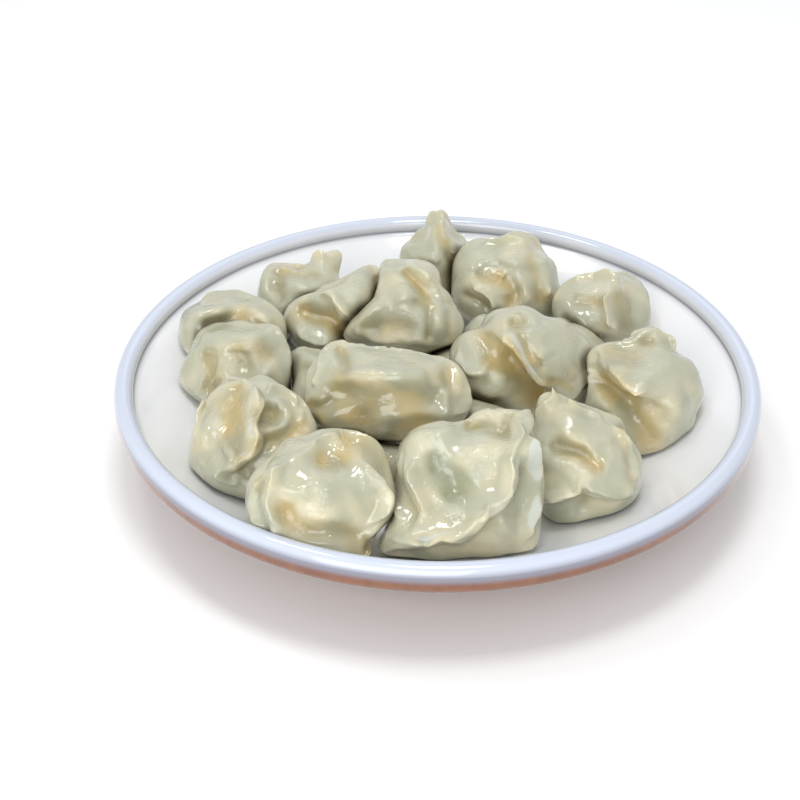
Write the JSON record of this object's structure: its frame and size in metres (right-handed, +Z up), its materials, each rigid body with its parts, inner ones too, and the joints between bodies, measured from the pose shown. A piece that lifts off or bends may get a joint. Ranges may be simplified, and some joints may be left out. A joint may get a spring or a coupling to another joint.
{
  "type": "bowl of vegetarian boiled dumplings",
  "caption": "Shallow round white-glazed bowl with a rolled rim and a foot ring, filled with a loose heap of folded, boiled vegetable dumplings.",
  "frame": {"origin": "centre of the bowl's foot ring, on the surface it stands on", "axes": "+Z up along the bowl's axis, -Y towards the side the heap is seen from, +X to the right of it"},
  "size_m": [0.23, 0.23, 0.0584],
  "materials": {
    "white_glaze": "glossy white glaze inside and on the rim, warm tan outside",
    "boiled_wrapper": "wet boiled wheat dough, slightly translucent, the green filling faintly showing through"
  },
  "bodies": {
    "root": {"bowl": "white_glaze", "dumpling_front_centre": "boiled_wrapper", "dumpling_front_centre_left": "boiled_wrapper", "dumpling_front_right": "boiled_wrapper", "dumpling_front_left": "boiled_wrapper", "dumpling_top_centre": "boiled_wrapper", "dumpling_top_right": "boiled_wrapper", "dumpling_top_back": "boiled_wrapper", "dumpling_top_left": "boiled_wrapper", "dumpling_right": "boiled_wrapper", "dumpling_left": "boiled_wrapper", "dumpling_left_back": "boiled_wrapper", "dumpling_back_left": "boiled_wrapper", "dumpling_back_centre": "boiled_wrapper", "dumpling_back_centre_right": "boiled_wrapper", "dumpling_back_right": "boiled_wrapper", "dumpling_under_right": "boiled_wrapper", "dumpling_under_left": "boiled_wrapper", "dumpling_under_back": "boiled_wrapper", "dumpling_under_centre": "boiled_wrapper", "dumpling_under_front": "boiled_wrapper"}
  },
  "joints": []
}
